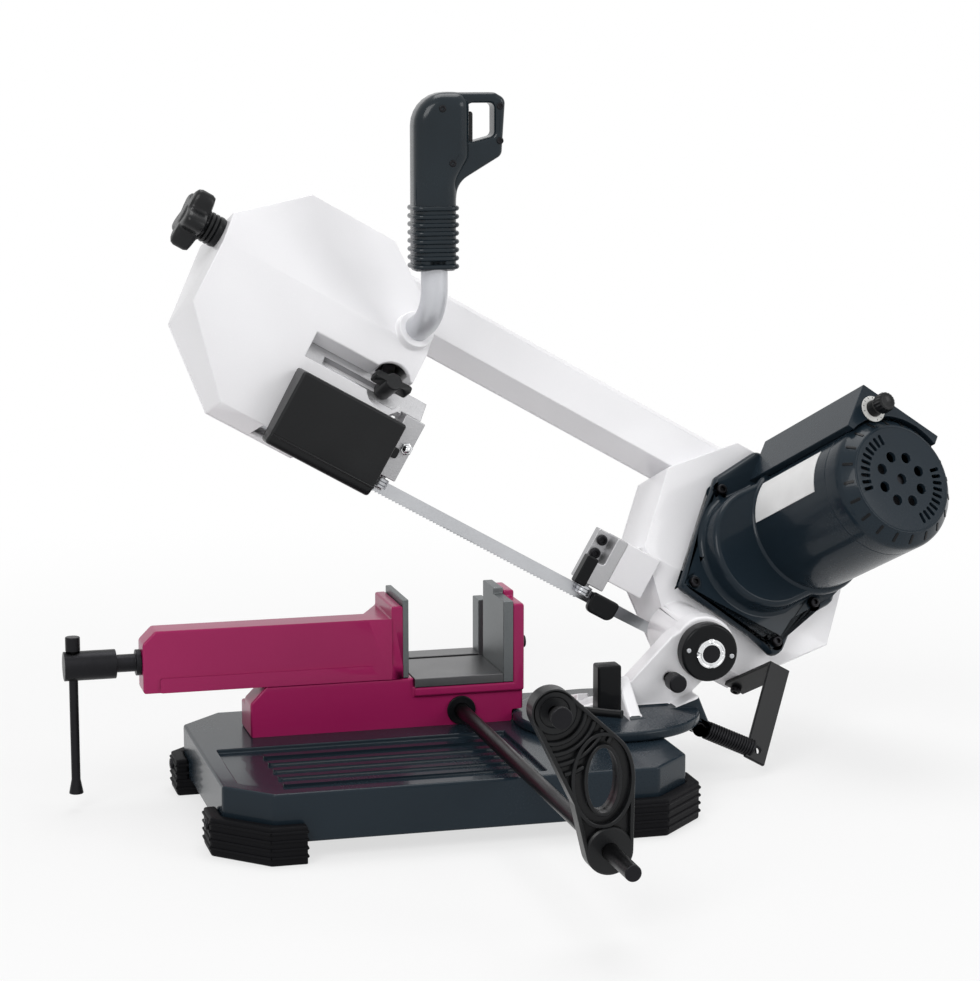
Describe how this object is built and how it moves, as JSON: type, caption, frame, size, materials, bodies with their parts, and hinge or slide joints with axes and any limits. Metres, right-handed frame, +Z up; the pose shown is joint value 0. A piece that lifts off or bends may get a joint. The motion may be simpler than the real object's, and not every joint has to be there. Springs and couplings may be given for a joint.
{
  "type": "portable band saw",
  "caption": "Portable metal-cutting band saw: cast base with screw vise and length stop, swivelling arm, and a spring-raised bow with blade wheels, guides, geared motor and pistol grip.",
  "frame": {"origin": "on the floor under the middle of the base, in the plane the four feet rest on", "axes": "+X along the vise screw towards the motor, +Y to the back, +Z up; the bow is drawn raised, as its spring holds it"},
  "size_m": [0.8832, 0.7628, 0.675],
  "materials": {
    "anthracite_paint": "gloss",
    "white_paint": "gloss",
    "burgundy_paint": "gloss",
    "silver_paint": "satin",
    "black_paint": "satin",
    "rubber": "matte",
    "steel": "ground",
    "dark_steel": "oxide",
    "chrome": "polished",
    "aluminium": "cast",
    "brass": "turned",
    "black_plastic": "satin",
    "grip_plastic": "gloss",
    "dial_plastic": "satin"
  },
  "bodies": {
    "base": {"base_casting": "anthracite_paint", "corner_feet": "rubber", "foot_screws": "dark_steel", "vise_bed": "burgundy_paint", "table_plate": "steel", "fixed_jaw_plate": "dark_steel", "fixed_jaw_bolts": "dark_steel", "vise_nut": "brass", "rod_bush": "brass"},
    "swivel": {"swivel_arm": "white_paint", "swivel_bolt": "steel", "pivot_axle": "steel", "pivot_disc": "black_plastic", "pivot_ring": "chrome", "stop_post": "black_paint"},
    "swivel_lever": {"swivel_lever": "black_plastic"},
    "lock_pin": {"bow_lock_pin": "black_plastic"},
    "bow": {"bow_casting": "white_paint", "pivot_bush": "brass", "rear_cover": "black_paint", "cover_screws": "dark_steel", "gear_case": "anthracite_paint", "gear_case_screws": "dark_steel", "motor_housing": "anthracite_paint", "motor_cap": "anthracite_paint", "control_box": "anthracite_paint", "dial_plate": "dial_plastic", "fixed_guide": "aluminium", "bracket_screws": "dark_steel", "blade_shield": "black_paint", "saw_blade": "steel", "handle_tube": "silver_paint", "grip_front_shell": "grip_plastic", "grip_back_shell": "grip_plastic", "grip_screws": "dark_steel", "spring_bracket": "black_paint", "return_spring": "dark_steel"},
    "drive": {"drive_wheel": "aluminium", "drive_shaft": "steel", "drive_gear": "steel"},
    "rotor": {"motor_rotor": "steel"},
    "carriage": {"tension_carriage": "steel"},
    "idle": {"idle_wheel": "aluminium"},
    "tension": {"tension_knob": "black_plastic"},
    "guide": {"guide_arm": "aluminium", "blade_guard": "black_plastic"},
    "roller_lf": {"left_roller_front": "steel"},
    "roller_lb": {"left_roller_back": "steel"},
    "roller_rf": {"right_roller_front": "steel"},
    "roller_rb": {"right_roller_back": "steel"},
    "guide_lock": {"guide_lock": "black_plastic"},
    "trigger": {"trigger": "grip_plastic"},
    "dial": {"speed_dial": "black_plastic"},
    "jaw": {"moving_jaw": "burgundy_paint", "moving_jaw_plate": "dark_steel"},
    "screw": {"vise_screw": "dark_steel"},
    "t_bar": {"t_bar": "dark_steel"},
    "rod": {"stop_rod": "black_paint"},
    "stop": {"stop_arm": "black_plastic"},
    "stop_screw": {"stop_screw": "dark_steel"}
  },
  "joints": [
    {"name": "arm_swivel", "type": "hinge", "parent": "base", "child": "swivel", "pos_m": [0.185, 0.025, 0.063], "axis": [0, 0, 1], "range_deg": [-45, 0]},
    {"name": "swivel_lever_turn", "type": "hinge", "parent": "swivel", "child": "swivel_lever", "pos_m": [0.13636, -0.03725, 0.073], "axis": [0, 0, 1], "range_deg": [-40, 40]},
    {"name": "lock_pin_slide", "type": "slide", "parent": "swivel", "child": "lock_pin", "axis": [0, 1, 0], "range_m": [0, 0.01]},
    {"name": "bow_pivot", "type": "hinge", "parent": "swivel", "child": "bow", "pos_m": [0.288, 0, 0.127], "axis": [0, 1, 0], "range_deg": [-29.6, 0], "stiffness_Nm_per_rad": 25, "springref_deg": 74.48, "deforming": ["return_spring"]},
    {"name": "drive_spin", "type": "hinge", "parent": "bow", "child": "drive", "pos_m": [0.368, 0.18413, 0.17672], "axis": [0.247, -0.866, 0.4347], "continuous": true},
    {"name": "rotor_spin", "type": "hinge", "parent": "bow", "child": "rotor", "pos_m": [0.44668, 0.11982, 0.23394], "axis": [0.247, -0.866, 0.4347], "continuous": true},
    {"name": "carriage_slide", "type": "slide", "parent": "bow", "child": "carriage", "axis": [0.8695, 0, -0.4939], "range_m": [0, 0.003]},
    {"name": "idle_spin", "type": "hinge", "parent": "carriage", "child": "idle", "pos_m": [-0.09141, 0.18413, 0.4377], "axis": [0.247, -0.866, 0.4347], "continuous": true},
    {"name": "tension_turn", "type": "hinge", "parent": "bow", "child": "tension", "pos_m": [-0.16796, 0.16289, 0.53779], "axis": [0.8695, 0, -0.4939], "range_deg": [0, 720]},
    {"name": "guide_slide", "type": "slide", "parent": "bow", "child": "guide", "axis": [0.8695, 0, -0.4939], "range_m": [0, 0.06]},
    {"name": "left_front_roller_spin", "type": "hinge", "parent": "guide", "child": "roller_lf", "pos_m": [-0.01978, 0.12125, 0.29379], "axis": [0.4939, 0, 0.8695], "continuous": true},
    {"name": "left_back_roller_spin", "type": "hinge", "parent": "guide", "child": "roller_lb", "pos_m": [-0.01978, 0.13875, 0.29379], "axis": [0.4939, 0, 0.8695], "continuous": true},
    {"name": "right_front_roller_spin", "type": "hinge", "parent": "bow", "child": "roller_rf", "pos_m": [0.19064, 0.12125, 0.17426], "axis": [0.4939, 0, 0.8695], "continuous": true},
    {"name": "right_back_roller_spin", "type": "hinge", "parent": "bow", "child": "roller_rb", "pos_m": [0.19064, 0.13875, 0.17426], "axis": [0.4939, 0, 0.8695], "continuous": true},
    {"name": "guide_lock_turn", "type": "hinge", "parent": "bow", "child": "guide_lock", "pos_m": [-0.0123, 0.13348, 0.38389], "axis": [0.247, -0.866, 0.4347], "range_deg": [-90, 90]},
    {"name": "trigger_press", "type": "slide", "parent": "bow", "child": "trigger", "axis": [-1, 0, 0], "range_m": [0, 0.005], "stiffness_N_per_m": 400, "springref_m": -0.003},
    {"name": "dial_turn", "type": "hinge", "parent": "bow", "child": "dial", "pos_m": [0.46408, 0.03368, 0.3607], "axis": [0.247, -0.866, 0.4347], "range_deg": [-135, 135]},
    {"name": "jaw_slide", "type": "slide", "parent": "base", "child": "jaw", "axis": [1, 0, 0], "range_m": [0, 0.09]},
    {"name": "screw_turn", "type": "hinge", "parent": "jaw", "child": "screw", "pos_m": [-0.3, 0.0625, 0.14], "axis": [1, 0, 0], "range_deg": [0, 8100]},
    {"name": "t_bar_slide", "type": "slide", "parent": "screw", "child": "t_bar", "axis": [0, 0, 1], "range_m": [0, 0.095]},
    {"name": "stop_rod_slide", "type": "slide", "parent": "base", "child": "rod", "axis": [0, -1, 0], "range_m": [0, 0.04]},
    {"name": "stop_arm_turn", "type": "hinge", "parent": "rod", "child": "stop", "pos_m": [0.043, -0.43, 0.0775], "axis": [0, 1, 0], "range_deg": [-30, 60]},
    {"name": "stop_screw_slide", "type": "slide", "parent": "stop", "child": "stop_screw", "axis": [0, 1, 0], "range_m": [0, 0.012]}
  ],
  "couplings": [
    {"joint": "rotor_spin", "follows": "drive_spin", "ratio": -5.6667},
    {"joint": "idle_spin", "follows": "drive_spin", "ratio": 1},
    {"joint": "left_front_roller_spin", "follows": "drive_spin", "ratio": -13.531},
    {"joint": "left_back_roller_spin", "follows": "drive_spin", "ratio": 13.531},
    {"joint": "right_front_roller_spin", "follows": "drive_spin", "ratio": -13.531},
    {"joint": "right_back_roller_spin", "follows": "drive_spin", "ratio": 13.531},
    {"joint": "tension_turn", "follows": "carriage_slide", "rad_per_m": 4188.8},
    {"joint": "screw_turn", "follows": "jaw_slide", "rad_per_m": 1570.8}
  ]
}
